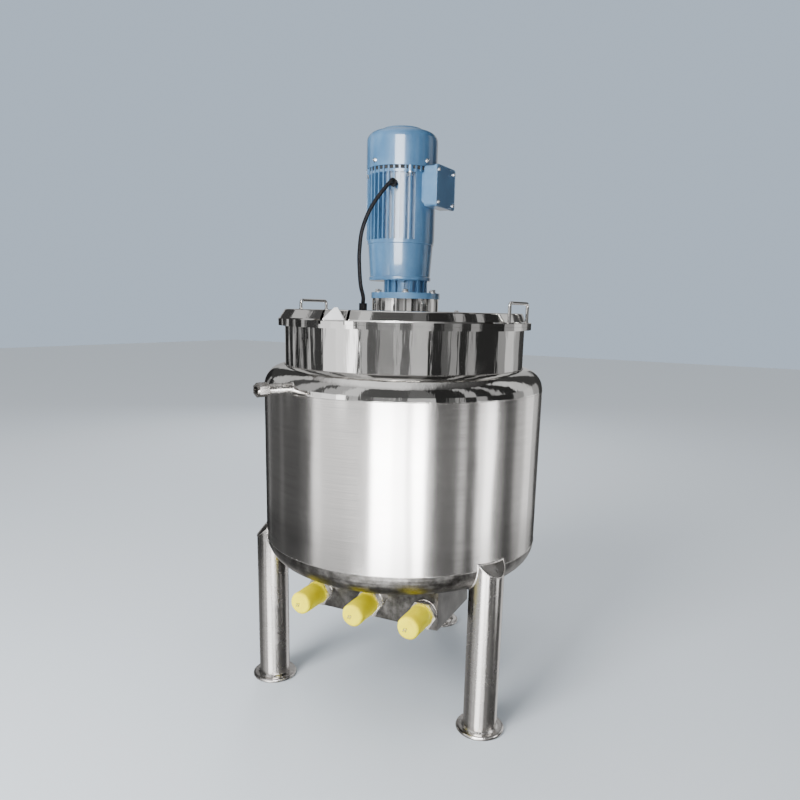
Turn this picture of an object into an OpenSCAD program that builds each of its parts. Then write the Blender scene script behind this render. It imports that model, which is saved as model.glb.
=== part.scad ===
// Jacketed stainless-steel mixing tank on three tubular legs, with a geared motor on the lid bridge,
// two hinged lid halves and an electric heater box under the jacket.
// The origin is on the tank axis at floor level, and the lid's hinge lines run along Y.

/* [Vessel] */
// Width of the heated space between the inner vessel and the jacket, with the jacket's sheet
jacket_space = 52; // [40:1:60]
// Thickness of the vessel and jacket sheet
sheet_t = 3; // [2:0.5:5]
// Height of the top face of the vessel's rim ring
rim_z = 948; // [900:1:1000]
// Height of the weld between the vessel wall and its dished bottom
vessel_weld_z = 470; // [440:1:520]
// Knuckle radius of the vessel bottom
vessel_knuckle_r = 50; // [30:1:80]
// Angle at which the vessel's knuckle runs into its dish
vessel_dish_angle = 65; // [55:1:72]
// How far the rim ring stands out from the vessel wall
rim_ring_w = 16; // [12:1:22]
// Height of the rim ring
rim_ring_h = 8; // [5:1:12]

/* [Jacket] */
// Outer diameter of the jacket
jacket_d = 700; // [680:1:760]
// Height of the weld between jacket wall and shoulder
jacket_top_z = 793; // [740:1:820]
// Height of the weld between jacket wall and jacket bottom
jacket_low_z = 410; // [400:1:440]
// Knuckle radius of the jacket bottom
jacket_knuckle_r = 60; // [45:1:75]
// Angle at which the jacket's knuckle runs into its dish
jacket_dish_angle = 70; // [64:1:74]
// Gap left at the curved joints between welded sheets
weld_gap = 0.2; // [0.1:0.05:0.5]

/* [Legs] */
// How far a leg's axis stands inside the jacket wall
leg_inset = 13; // [9:1:20]
// Outer diameter of a leg tube
leg_d = 80; // [60:1:90]
// Wall of a leg tube
leg_wall = 3; // [2:0.5:5]
// Turn of the three legs about the tank, against the lid's hinge lines
leg_turn = 6.6; // [0:0.1:20]
// Height of a leg's top at its outermost point, from where it slopes up to the jacket
leg_top_z = 396; // [380:1:410]
// Slope of a leg's closed top
leg_mitre = 45; // [35:1:55]
// Diameter of a foot plate
foot_d = 115; // [100:1:130]
// Height of a foot plate
foot_h = 10; // [8:1:16]
// Height of the weld bead round a leg on its foot plate
foot_bead_h = 4; // [2:0.5:8]

/* [Lid] */
// Height of the lid's flat top
lid_top_z = 979; // [970:1:1000]
// Thickness of the lid sheet
lid_t = 3; // [2:0.5:4]
// Height of the folded hem round the lid's edge
lid_hem_h = 8.7; // [6:0.1:12]
// How far the foot of the right lid half's wall stands in from the rim
right_wall_low_in = 15; // [12:1:20]
// How far the top of the right lid half's wall stands in from the rim
right_wall_top_in = 21; // [20:1:30]
// How far the foot of the left lid half's wall stands in from the rim
left_wall_low_in = 4; // [3:1:10]
// How far the top of the left lid half's wall stands in from the rim
left_wall_top_in = 15; // [12:1:24]
// Radius of the rounded corner at the lid's top
lid_corner_r = 4; // [2:0.5:8]
// Half the width of the fixed bridge between the lid halves
bridge_half_w = 30; // [24:1:40]
// Sheet of the bridge channel
bridge_t = 4; // [3:0.5:6]
// Radius of the round deck in the middle of the bridge
deck_r = 115; // [105:1:125]
// Thickness of the deck
deck_t = 4; // [3:0.5:8]
// Gap between a lid half and the deck
deck_gap = 3; // [2:0.5:6]
// Gap between a lid half and the bridge, beyond the hinges
lid_side_gap = 4; // [3:0.5:5]
// Gap between the lid's hem and the rim ring
seat_gap = 0.3; // [0.2:0.1:1]
// Width at the foot of the folded gusset at each end of the bridge
gusset_w = 58; // [40:1:60]
// Width of the gusset at its blunt point
gusset_tip_w = 8; // [4:1:14]
// How far the gusset's point stands above the lid's top
gusset_rise = 4; // [0:0.5:6]
// Sheet of the gusset
gusset_t = 3; // [2:0.5:4]
// Rod diameter of a lid handle
handle_rod_d = 8; // [6:0.5:12]
// Height of a lid handle's bar above the hem
handle_h = 45; // [38:1:60]
// Inner bend radius of a lid handle
handle_bend_r = 4; // [2:0.5:8]
// Length of a lid handle between its rod centres
handle_len = 112; // [90:1:140]

/* [Hinges] */
// Outer diameter of a hinge knuckle
knuckle_d = 9; // [8:0.5:10]
// Diameter of a hinge pin
pin_d = 4; // [3:0.5:5]
// Radial clearance of a pin in a lid knuckle
pin_gap = 0.1; // [0.05:0.01:0.1]
// Gap between a knuckle and the bridge, and between knuckles
knuckle_gap = 1.5; // [1:0.25:2.5]
// How far a knuckle stands above the lid's top
knuckle_rise = 0.5; // [0:0.5:1.5]
// Length of one hinge knuckle
knuckle_len = 30; // [20:1:34]
// Number of knuckles in one hinge
knuckle_count = 5; // [3:2:5]
// Thickness of a hinge leaf
leaf_t = 2; // [1.5:0.5:3]
// Width of a lid hinge leaf
leaf_w = 26; // [18:1:36]

/* [Drive] */
// Outer diameter of the turned pedestal ring
pedestal_d = 166; // [150:1:180]
// Height of the pedestal ring
pedestal_h = 30; // [20:1:50]
// Wall of the pedestal ring
pedestal_wall = 20; // [10:1:28]
// Diameter of the drive's mounting flange
flange_d = 172; // [160:1:182]
// Thickness of the mounting flange
flange_t = 14; // [10:1:18]
// Diameter over the ribs of the neck above the flange
neck_rib_d = 108; // [96:1:112]
// Diameter of the neck's core
neck_core_d = 92; // [80:1:94]
// Height of the neck
neck_h = 29; // [20:1:40]
// Number of ribs round the neck
neck_ribs = 16; // [8:1:24]
// Width of a neck rib
neck_rib_w = 6; // [4:0.5:8]
// How far the motor's axis stands off the mixing shaft's axis
motor_offset = 17; // [0:1:20]
// Diameter of the gear housing at its foot
gear_low_d = 154; // [140:1:160]
// Diameter of the gear housing at its top
gear_top_d = 164; // [152:1:168]
// Height of the gear housing
gear_h = 95; // [80:1:120]
// Height of the lip at the foot of the gear housing
gear_lip_h = 8; // [4:1:14]
// Height of the motor's finned frame
frame_h = 164; // [140:1:190]
// Diameter over the cooling fins
fin_d = 170; // [160:1:172]
// Diameter of the frame between the fins
frame_core_d = 146; // [130:1:150]
// Thickness of a cooling fin
fin_t = 3.4; // [2.5:0.1:5]
// Number of fin places round the frame
fin_places = 40; // [30:1:48]
// Half angle of the smooth pad under the terminal box
pad_half_angle = 36; // [28:1:44]
// Height of the end shield above the fins
shield_h = 14; // [8:1:20]
// Diameter of the fan cowl
cowl_d = 172; // [170:1:182]
// Height of the fan cowl
cowl_h = 84; // [70:1:110]
// Radius of the cowl's rounded top edge
cowl_round = 20; // [8:1:28]
// Diameter of the raised cap on the cowl
cowl_cap_d = 106; // [70:1:120]
// Height of the raised cap
cowl_cap_h = 9; // [6:1:20]

/* [Terminal box] */
// Width of the terminal box
tbox_w = 94; // [80:1:110]
// Height of the terminal box
tbox_h = 90; // [80:1:110]
// Distance from the motor's axis to the outer face of the box lid
tbox_reach = 121; // [115:1:135]
// Depth of the terminal box without its lid
tbox_depth = 26; // [20:1:32]
// Thickness of the terminal box lid
tbox_lid_t = 7; // [5:1:10]
// Height of the terminal box's middle above the foot of the finned frame
tbox_up = 118; // [100:1:130]
// Corner radius of the terminal box
tbox_corner = 8; // [4:1:14]
// Side of the square neck that joins the terminal box to the frame's pad
tbox_neck_w = 70; // [60:1:76]
// How far the terminal box lid stands past the box on every side
tbox_lid_lip = 1.5; // [0:0.5:3]

/* [Agitator] */
// Diameter of the mixing shaft
shaft_d = 28; // [20:1:36]
// Running gap round the mixing shaft where it passes the drive's flange and the deck
shaft_gap = 4; // [2:0.5:8]
// Height of the mixing shaft's lower end
shaft_low_z = 430; // [415:1:460]
// Sweep diameter of the paddle
paddle_d = 300; // [240:1:360]
// Diameter of the paddle's hub
hub_d = 52; // [44:1:64]
// Height of the paddle's hub
hub_h = 50; // [40:1:64]
// Length of shaft that stands out below the hub
shaft_end = 4; // [0:1:10]
// Slope of a paddle blade
blade_slope = 45; // [30:1:60]
// Width of a paddle blade
blade_w = 50; // [36:1:60]
// Thickness of a paddle blade
blade_t = 5; // [4:0.5:8]

/* [Heater box] */
// Turn of the heater box about the tank, against the lid's hinge lines
heater_turn = 5.1; // [0:0.1:15]
// How far the front plate of the heater box stands in from the jacket's outline
heater_front_in = 120; // [110:1:140]
// Distance from the tank axis to the back plate of the heater box
heater_back = 28; // [26:1:60]
// How far each side of the heater box stands in from the jacket's outline
heater_side_in = 180; // [175:1:185]
// Sideways shift of the heater box from the tank's middle
heater_shift = 36; // [0:1:40]
// Height of the heater box's bottom above the floor
heater_low_z = 260; // [230:1:270]
// Distance from a side of the heater box to the nearest heater's axis
heater_margin = 31; // [30:1:36]
// Gap between a heater's hexagon head and the jacket's bottom
heater_clear = 1.7; // [1:0.1:4]
// Outer diameter of the socket welded to the front plate
socket_d = 58; // [50:1:64]
// Bore of the socket
socket_bore = 42; // [34:1:46]
// Length of the socket
socket_len = 12; // [8:1:20]
// Width across flats of the heater's hexagon head
heater_hex = 60; // [56:1:66]
// Thickness of the hexagon head
heater_hex_t = 10; // [6:1:14]
// Diameter of a protective cap at its open end
cap_d = 54; // [48:1:58]
// Diameter of a protective cap at its closed end
cap_front_d = 51; // [46:1:56]
// Length of a protective cap
cap_len = 76; // [60:1:84]
// Radius of the cap's rounded front edge
cap_round = 10; // [4:0.5:14]
// Wall of a protective cap
cap_wall = 2; // [1.5:0.5:4]

/* [Pipe connections] */
// Direction of the jacket nipple about the tank, against the lid's hinge lines
nipple_turn = -16; // [-40:1:0]
// Height of the jacket nipple
nipple_z = 808; // [800:1:815]
// How far the nipple stands out from the jacket
nipple_out = 86; // [70:1:100]
// Outer diameter of the nipple pipe
nipple_d = 21; // [17:1:27]
// Bore of the nipple pipe
nipple_bore = 15; // [10:1:20]
// Width across flats of the nipple's union
nipple_hex = 28; // [28:1:36]
// Length of the nipple's union
nipple_hex_len = 24; // [16:1:34]
// How far the nipple stands out of its union
nipple_end = 2; // [1:0.5:6]
// Outer diameter of the bottom outlet
drain_d = 38; // [30:1:42]
// Bore of the bottom outlet
drain_bore = 35; // [26:1:38]
// Height of the lower end of the bottom outlet
drain_low_z = 208; // [190:1:230]
// Diameter of the ferrule on the bottom outlet
ferrule_d = 50.5; // [46:0.5:56]
// Thickness of the ferrule's lip
ferrule_t = 6; // [4:0.5:8]

/* [Motor lead] */
// Diameter of the motor lead
lead_d = 9; // [6:0.5:11]
// Diameter of a lead gland
gland_d = 18; // [14:1:22]
// Length of a lead gland
gland_len = 16; // [12:1:24]
// Direction of the motor's gland about the motor axis, against the lid's hinge lines
gland_turn = 18.4; // [10:0.1:26]
// Height of the motor's gland above the foot of the finned frame
gland_up = 123; // [110:1:130]
// Distance from the tank axis to the gland on the bridge
bridge_gland_reach = 191; // [170:1:210]

/* [Hidden] */
$fn = 96;
steel = [0.80, 0.81, 0.82];
steel_dull = [0.62, 0.62, 0.62];
motor_blue = [0.45, 0.56, 0.69];
cap_yellow = [0.95, 0.88, 0.20];
rubber_black = [0.08, 0.08, 0.09];
eps = 0.01;

jacket_r = jacket_d / 2;
shoulder_r = jacket_space;
vessel_r = jacket_r - shoulder_r;
shoulder_top_z = jacket_top_z + shoulder_r;
rim_r = vessel_r + rim_ring_w;
leg_r = leg_d / 2;
leg_ring_r = jacket_r - leg_inset;
right_wall_low_r = rim_r - right_wall_low_in;
right_wall_top_r = rim_r - right_wall_top_in;
left_wall_low_r = rim_r - left_wall_low_in;
left_wall_top_r = rim_r - left_wall_top_in;
heater_front = jacket_r - heater_front_in;
heater_w = jacket_d - 2 * heater_side_in;
heater_pitch = heater_w / 2 - heater_margin;
nipple_reach = jacket_r + nipple_out;

// Heights of the drive's pieces, stacked from the deck upwards
flange_z = lid_top_z + pedestal_h;
neck_z = flange_z + flange_t;
gear_z = neck_z + neck_h;
frame_z = gear_z + gear_h;
shield_z = frame_z + frame_h - shield_h;
cowl_z = frame_z + frame_h;
tbox_z = frame_z + tbox_up;

// The pad under the terminal box is a little lower than the fins
pad_step = 2;
fin_r = max(fin_d / 2, frame_core_d / 2);
pad_r = max(fin_r - pad_step, frame_core_d / 2);

// Hinge line of the lid halves
hinge_x = bridge_half_w + knuckle_gap + knuckle_d / 2;
hinge_z = lid_top_z - knuckle_d / 2 + knuckle_rise;
lid_edge_x = hinge_x + knuckle_d / 2 + knuckle_gap;
lid_edge_z = rim_z + seat_gap;
hem_top_z = lid_edge_z + lid_hem_h;
knuckle_pitch = knuckle_len + knuckle_gap;
hinge_len = knuckle_count * knuckle_pitch;
hinge_y = deck_r + deck_gap + knuckle_gap + hinge_len / 2;

// The bridge's ends lie between the outlines of the two lid halves
bridge_low_r = (left_wall_low_r + right_wall_low_r) / 2;
bridge_top_r = (left_wall_top_r + right_wall_top_r) / 2;
bridge_bevel = 2;

// Points of an arc from angle a0 to a1 about (x, z)
function arc(x, z, r, a0, a1, n) = [
    for (i = [0:n]) let (a = a0 + (a1 - a0) * i / n) [x + r * cos(a), z + r * sin(a)]
];
function reversed(list) = [for (i = [len(list) - 1:-1:0]) list[i]];

// Outline of a dished head: a knuckle that runs into a shallow dish, inset by the given depth
function dish_z(r, weld_z, knuckle, angle) = weld_z + (r - knuckle) * tan(angle);
function dish_r(r, knuckle, angle) = knuckle + (r - knuckle) / cos(angle);
knuckle_steps = 8;
dish_steps = 6;
function head(r, weld_z, knuckle, angle, inset) = concat(
    arc(r - knuckle, weld_z, knuckle - inset, 0, -angle, knuckle_steps),
    arc(0, dish_z(r, weld_z, knuckle, angle), dish_r(r, knuckle, angle) - inset,
        -angle - (90 - angle) / (dish_steps + 1), -90, dish_steps)
);
jacket_dish_low_z = dish_z(jacket_r, jacket_low_z, jacket_knuckle_r, jacket_dish_angle)
    - dish_r(jacket_r, jacket_knuckle_r, jacket_dish_angle);
heater_z = dish_z(jacket_r, jacket_low_z, jacket_knuckle_r, jacket_dish_angle)
    - sqrt(pow(dish_r(jacket_r, jacket_knuckle_r, jacket_dish_angle), 2) - pow(heater_front + socket_len, 2))
    - heater_hex / 2 - heater_clear;
vessel_dish_low_z = dish_z(vessel_r, vessel_weld_z, vessel_knuckle_r, vessel_dish_angle)
    - dish_r(vessel_r, vessel_knuckle_r, vessel_dish_angle);

module ring(outer_r, inner_r, height) {
    difference() {
        cylinder(r = outer_r, h = height);
        translate([0, 0, -eps]) cylinder(r = inner_r, h = height + 2 * eps);
    }
}

// Turns a piece to a direction about the tank: 0 is -Y, positive towards +X
module facing(angle) {
    rotate([0, 0, angle - 90]) children();
}

// A dished head of sheet with a round hole in its middle
module dished_head(r, weld_z, knuckle, angle, hole_r) {
    difference() {
        rotate_extrude() polygon(concat(
            head(r, weld_z, knuckle, angle, 0),
            reversed(head(r, weld_z, knuckle, angle, sheet_t))
        ));
        translate([0, 0, weld_z - r]) cylinder(r = hole_r, h = r);
    }
}

// Filled outline of the whole jacket, grown by the weld gap, that trims what is welded on it
module jacket_solid() {
    rotate_extrude() polygon(concat(
        [[0, jacket_top_z], [jacket_r + weld_gap, jacket_top_z]],
        head(jacket_r, jacket_low_z, jacket_knuckle_r, jacket_dish_angle, -weld_gap)
    ));
}

module vessel_wall() {
    color(steel) translate([0, 0, vessel_weld_z])
        ring(vessel_r, vessel_r - sheet_t, rim_z - vessel_weld_z);
}

module vessel_bottom() {
    color(steel)
        dished_head(vessel_r, vessel_weld_z, vessel_knuckle_r, vessel_dish_angle, drain_d / 2 + weld_gap);
}

module rim_ring() {
    color(steel) translate([0, 0, rim_z - rim_ring_h])
        ring(rim_r, vessel_r + weld_gap, rim_ring_h);
}

module jacket_wall() {
    color(steel) translate([0, 0, jacket_low_z])
        ring(jacket_r, jacket_r - sheet_t, jacket_top_z - jacket_low_z);
}

// The shoulder is a quarter-round ring from the jacket wall in to the neck
module jacket_shoulder() {
    color(steel) difference() {
        rotate_extrude() polygon(concat(
            arc(vessel_r, jacket_top_z, shoulder_r, 0, 90, 10),
            [[vessel_r + weld_gap, shoulder_top_z], [vessel_r + weld_gap, shoulder_top_z - sheet_t]],
            reversed(arc(vessel_r, jacket_top_z, shoulder_r - sheet_t, 0, 86, 10))
        ));
        nipple_place() cylinder(r = nipple_d / 2 + weld_gap, h = nipple_reach);
    }
}

module jacket_bottom() {
    color(steel_dull)
        dished_head(jacket_r, jacket_low_z, jacket_knuckle_r, jacket_dish_angle, drain_d / 2 + weld_gap);
}

// A leg tube with a sloping closed top, trimmed where it meets the jacket
module leg(angle) {
    color(steel_dull) facing(angle) difference() {
        leg_body(leg_r, leg_top_z);
        translate([0, 0, -eps]) leg_body(leg_r - leg_wall, leg_top_z - leg_wall * 2);
        jacket_solid();
    }
}

// A round bar standing at the leg's place, cut by the slope of the leg's top
module leg_body(r, top_z) {
    difference() {
        translate([leg_ring_r, 0, foot_h]) cylinder(r = r, h = jacket_top_z - jacket_low_z + leg_r);
        translate([leg_ring_r + leg_r, 0, top_z]) rotate([0, leg_mitre, 0])
            translate([-jacket_r, -leg_d, 0]) cube([2 * jacket_r, 2 * leg_d, jacket_r]);
    }
}

// A round foot plate with a rounded edge and the weld bead round the leg
module foot(angle) {
    edge_r = foot_h / 2;
    color(steel) facing(angle) translate([leg_ring_r, 0, 0]) rotate_extrude() polygon(concat(
        [[0, 0]],
        arc(foot_d / 2 - edge_r, edge_r, edge_r, -90, 90, 8),
        [[leg_r + foot_bead_h, foot_h], [leg_r + weld_gap, foot_h + foot_bead_h], [leg_r + weld_gap, foot_h],
         [0, foot_h]]
    ));
}

// The three legs stand a third of a turn apart
right_leg_turn = leg_turn + 60;
left_leg_turn = leg_turn - 60;
back_leg_turn = leg_turn + 180;
module leg_right() { leg(right_leg_turn); }
module leg_left() { leg(left_leg_turn); }
module leg_back() { leg(back_leg_turn); }
module foot_right() { foot(right_leg_turn); }
module foot_left() { foot(left_leg_turn); }
module foot_back() { foot(back_leg_turn); }

// Cross-section of a hat-shaped lid half: hem, leaning wall, rounded corner and flat top
module lid_section(low_r, top_r) {
    bevel = 1;
    fold = 2;
    corner_x = top_r - lid_corner_r;
    polygon(concat(
        [[rim_r, lid_edge_z], [rim_r, hem_top_z - bevel], [rim_r - bevel, hem_top_z],
         [low_r + fold, hem_top_z], [low_r, hem_top_z + fold]],
        arc(corner_x, lid_top_z - lid_corner_r, lid_corner_r, 20, 90, 4),
        [[0, lid_top_z], [0, lid_top_z - lid_t], [corner_x - bevel, lid_top_z - lid_t]],
        [[low_r - lid_t, hem_top_z], [low_r - lid_t, lid_edge_z]]
    ));
}

// Half of the lid on the +X side, cut back for the bridge and its deck, and further back along the hinges
module lid_half(low_r, top_r) {
    side_x = bridge_half_w + lid_side_gap;
    hinges_end = hinge_y + hinge_len / 2;
    difference() {
        rotate_extrude() lid_section(low_r, top_r);
        translate([0, 0, lid_edge_z - 1]) cylinder(r = deck_r + deck_gap, h = lid_top_z);
        translate([-rim_r - side_x, -rim_r, lid_edge_z - 1]) cube([rim_r + 2 * side_x, 2 * rim_r, lid_top_z]);
        translate([0, -hinges_end, lid_edge_z - 1]) cube([lid_edge_x, 2 * hinges_end, lid_top_z]);
    }
}

module lid_right() { color(steel) lid_half(right_wall_low_r, right_wall_top_r); }
module lid_left() { color(steel) mirror([1, 0, 0]) lid_half(left_wall_low_r, left_wall_top_r); }

// One lid's hinge leaf with its knuckles, at +Y and -Y of the deck, on the +X side
module lid_leaf() {
    for (side = [-1, 1]) translate([0, side * hinge_y, 0]) {
        difference() {
            union() {
                knuckles(1, pin_d / 2 + pin_gap);
                knuckle_webs(1, hinge_x, lid_edge_x + leaf_w);
            }
            translate([hinge_x, hinge_len, hinge_z]) rotate([90, 0, 0])
                cylinder(r = pin_d / 2 + pin_gap, h = 2 * hinge_len);
        }
        translate([lid_edge_x, -hinge_len / 2, lid_top_z - lid_t - leaf_t]) cube([leaf_w, hinge_len, leaf_t]);
    }
}

// Knuckles of one side of a hinge: first is 0 for the bridge's and 1 for the lid's
module knuckles(first, bore_r) {
    for (i = [first:2:knuckle_count - 1]) translate([hinge_x, knuckle_y(i), hinge_z]) rotate([-90, 0, 0])
        ring(knuckle_d / 2, bore_r, knuckle_len);
}

// Flat webs that join the knuckles of one side to their leaf
module knuckle_webs(first, x0, x1) {
    for (i = [first:2:knuckle_count - 1]) translate([min(x0, x1), knuckle_y(i), lid_top_z - lid_t - leaf_t])
        cube([abs(x1 - x0), knuckle_len, leaf_t]);
}
function knuckle_y(i) = (i - knuckle_count / 2) * knuckle_pitch + knuckle_gap / 2;

module lid_hinge_right() { color(steel_dull) lid_leaf(); }
module lid_hinge_left() { color(steel_dull) mirror([1, 0, 0]) lid_leaf(); }

// The bridge's own knuckles, each on a web that stands against the beam's side
module bridge_leaf() {
    for (side = [-1, 1]) translate([0, side * hinge_y, 0]) difference() {
        union() {
            knuckles(0, pin_d / 2);
            knuckle_webs(0, bridge_half_w, hinge_x);
        }
        translate([hinge_x, hinge_len, hinge_z]) rotate([90, 0, 0])
            cylinder(r = pin_d / 2 + weld_gap / 2, h = 2 * hinge_len);
    }
}

module bridge_hinge_leaves() {
    color(steel_dull) {
        bridge_leaf();
        mirror([1, 0, 0]) bridge_leaf();
    }
}

module hinge_pins() {
    color(steel) for (x = [-hinge_x, hinge_x], side = [-1, 1])
        translate([x, side * hinge_y + hinge_len / 2, hinge_z]) rotate([90, 0, 0])
            cylinder(d = pin_d, h = hinge_len);
}

// Inverted channel from rim to rim, its ends cut to the lid's outline
module bridge_beam() {
    hem_r = rim_r - bridge_bevel;
    color(steel) difference() {
        intersection() {
            rotate_extrude() polygon([
                [0, rim_z], [hem_r, rim_z], [hem_r, hem_top_z - bridge_bevel], [bridge_low_r, hem_top_z],
                [bridge_top_r, lid_top_z - bridge_bevel], [bridge_top_r - bridge_bevel, lid_top_z],
                [0, lid_top_z]
            ]);
            translate([-bridge_half_w, -rim_r, rim_z]) cube([2 * bridge_half_w, 2 * rim_r, lid_top_z]);
        }
        translate([-bridge_half_w + bridge_t, -vessel_r + sheet_t, 0])
            cube([2 * (bridge_half_w - bridge_t), 2 * (vessel_r - sheet_t), lid_top_z - bridge_t]);
        translate([0, 0, lid_top_z - deck_t]) cylinder(r = deck_r + weld_gap, h = deck_t + 1);
        translate([0, 0, rim_z]) cylinder(r = shaft_d / 2 + shaft_gap, h = lid_top_z);
    }
}

module bridge_deck() {
    color(steel) translate([0, 0, lid_top_z - deck_t]) ring(deck_r, shaft_d / 2 + shaft_gap, deck_t);
}

// A bright three-cornered plate that lies on the sloping end of the bridge
module gusset() {
    lean = atan((bridge_low_r - bridge_top_r) / (lid_top_z - bridge_bevel - hem_top_z));
    length = (lid_top_z + gusset_rise - hem_top_z) / cos(lean);
    translate([0, -bridge_low_r, hem_top_z]) rotate([90 - lean, 0, 0]) linear_extrude(gusset_t) polygon([
        [-gusset_w / 2, 0], [gusset_w / 2, 0], [gusset_tip_w / 2, length], [-gusset_tip_w / 2, length]
    ]);
}

module bridge_gusset_front() { color(steel) gusset(); }
module bridge_gusset_back() { color(steel) mirror([0, 1, 0]) gusset(); }

// A handle bent from round rod, on two feet at a radius about the tank
module lid_handle(foot_r, foot_z) {
    bar_x = sqrt(pow(foot_r, 2) - pow(handle_len / 2, 2));
    bar_z = hem_top_z + handle_h;
    bend_r = handle_bend_r + handle_rod_d / 2;
    translate([bar_x, 0, 0]) {
        for (side = [-1, 1]) {
            translate([0, side * handle_len / 2, foot_z])
                cylinder(d = handle_rod_d, h = bar_z - bend_r - foot_z);
            translate([0, side * (handle_len / 2 - bend_r), bar_z - bend_r])
                rotate([90, 0, 90]) mirror([side < 0 ? 1 : 0, 0, 0])
                    rotate_extrude(angle = 90) translate([bend_r, 0]) circle(d = handle_rod_d, $fn = 32);
        }
        translate([0, -handle_len / 2 + bend_r, bar_z]) rotate([-90, 0, 0])
            cylinder(d = handle_rod_d, h = handle_len - 2 * bend_r);
    }
}

// The right handle stands on the hem, close to the wall
module lid_handle_right() {
    color(steel) lid_handle((right_wall_low_r + rim_r) / 2, hem_top_z);
}

// The left half has no room on its hem, so its handle stands on the flat top
module lid_handle_left() {
    color(steel) mirror([1, 0, 0]) lid_handle(left_wall_top_r - lid_corner_r - handle_rod_d / 2, lid_top_z);
}

module pedestal_ring() {
    color(steel) translate([0, 0, lid_top_z])
        ring(pedestal_d / 2, pedestal_d / 2 - pedestal_wall, pedestal_h);
}

module drive_flange() {
    color(motor_blue) translate([0, 0, flange_z]) ring(flange_d / 2, shaft_d / 2 + shaft_gap, flange_t);
}

module drive_neck() {
    color(motor_blue) translate([0, 0, neck_z]) linear_extrude(neck_h) {
        circle(d = neck_core_d);
        for (i = [0:neck_ribs - 1]) rotate(i * 360 / neck_ribs)
            translate([0, -neck_rib_w / 2]) square([neck_rib_d / 2, neck_rib_w]);
    }
}

// The gear housing widens upwards, between plain lips at its foot and its top
module gear_housing() {
    bevel = 2;
    low_r = gear_low_d / 2;
    top_r = gear_top_d / 2;
    color(motor_blue) on_motor_axis(gear_z) rotate_extrude() polygon([
        [0, 0], [low_r - bevel, 0], [low_r, bevel], [low_r, gear_lip_h], [low_r - bevel, gear_lip_h + bevel],
        [top_r - bevel, gear_h - gear_lip_h - bevel], [top_r, gear_h - gear_lip_h], [top_r, gear_h], [0, gear_h]
    ]);
}

module on_motor_axis(z) {
    translate([-motor_offset, 0, z]) children();
}

// Ribbed motor frame: fins all round, but for a smooth pad that carries the terminal box
module motor_frame() {
    step = 360 / fin_places;
    color(motor_blue) on_motor_axis(frame_z) linear_extrude(frame_h - shield_h) {
        circle(d = frame_core_d);
        for (i = [0:fin_places - 1])
            if (abs(i * step - 180) < 180 - pad_half_angle)
                rotate(i * step) translate([0, -fin_t / 2]) square([fin_d / 2, fin_t]);
        intersection() {
            circle(r = pad_r);
            polygon([[0, 0], [fin_d, -fin_d * tan(pad_half_angle)], [fin_d, fin_d * tan(pad_half_angle)]]);
        }
    }
}

// End shield with lugs for the through bolts
module motor_end_shield() {
    lug_d = 16;
    shield_step = 3;
    color(motor_blue) on_motor_axis(shield_z) linear_extrude(shield_h) {
        circle(r = fin_d / 2 - shield_step);
        for (turn = [45:90:315]) rotate(turn)
            translate([fin_d / 2 - lug_d / 2, 0]) circle(d = lug_d, $fn = 32);
    }
}

module fan_cowl() {
    color(motor_blue) on_motor_axis(cowl_z) rotate_extrude() polygon(concat(
        [[0, 0], [cowl_d / 2, 0]],
        arc(cowl_d / 2 - cowl_round, cowl_h - cowl_round, cowl_round, 0, 90, 6),
        [[0, cowl_h]]
    ));
}

module cowl_cap() {
    edge_r = cowl_cap_h * 0.8;
    color(motor_blue) on_motor_axis(cowl_z + cowl_h) rotate_extrude() polygon(concat(
        [[0, 0], [cowl_cap_d / 2, 0]],
        arc(cowl_cap_d / 2 - edge_r, cowl_cap_h - edge_r, edge_r, 0, 90, 5),
        [[0, cowl_cap_h]]
    ));
}

// Rounded rectangle, standing on the YZ plane
module tbox_plate(width, height, depth) {
    rotate([90, 0, 90]) linear_extrude(depth) {
        square([width - 2 * tbox_corner, height], center = true);
        square([width, height - 2 * tbox_corner], center = true);
        for (x = [-1, 1], y = [-1, 1])
            translate([x * (width / 2 - tbox_corner), y * (height / 2 - tbox_corner)])
                circle(tbox_corner, $fn = 32);
    }
}

// Terminal box: a narrower neck on the frame's pad and the box itself
module terminal_box() {
    box_x = tbox_reach - tbox_lid_t - tbox_depth;
    color(motor_blue) on_motor_axis(tbox_z) difference() {
        union() {
            translate([box_x, 0, 0]) tbox_plate(tbox_w, tbox_h, tbox_depth);
            tbox_plate(tbox_neck_w, tbox_neck_w, box_x);
        }
        translate([0, 0, -tbox_h]) cylinder(r = pad_r + weld_gap, h = 2 * tbox_h);
    }
}

module terminal_box_lid() {
    color(motor_blue) on_motor_axis(tbox_z) translate([tbox_reach - tbox_lid_t, 0, 0])
        tbox_plate(tbox_w + 2 * tbox_lid_lip, tbox_h + 2 * tbox_lid_lip, tbox_lid_t);
}

// The lead leaves its gland on the frame, bows out over the bridge and drops into the bridge's gland
lead_way_out = [sin(gland_turn), -cos(gland_turn), 0];
lead_exit = [-motor_offset, 0, frame_z + gland_up] + (fin_r + gland_len) * lead_way_out;
lead_foot = [0, -bridge_gland_reach, lid_top_z + gland_len];
lead_points = [
    lead_exit, lead_exit + 10 * lead_way_out, [5, -131, 1240], [-6, -160, 1199], [-14, -177, 1155],
    [-16, -183, 1115], [-14, -187, 1084], [-6, -193, 1037], lead_foot + [0, 0, 15], lead_foot
];
function unit(v) = v / norm(v);
function lead_way(i) = unit(lead_points[min(i + 1, len(lead_points) - 1)] - lead_points[max(i - 1, 0)]);

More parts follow.
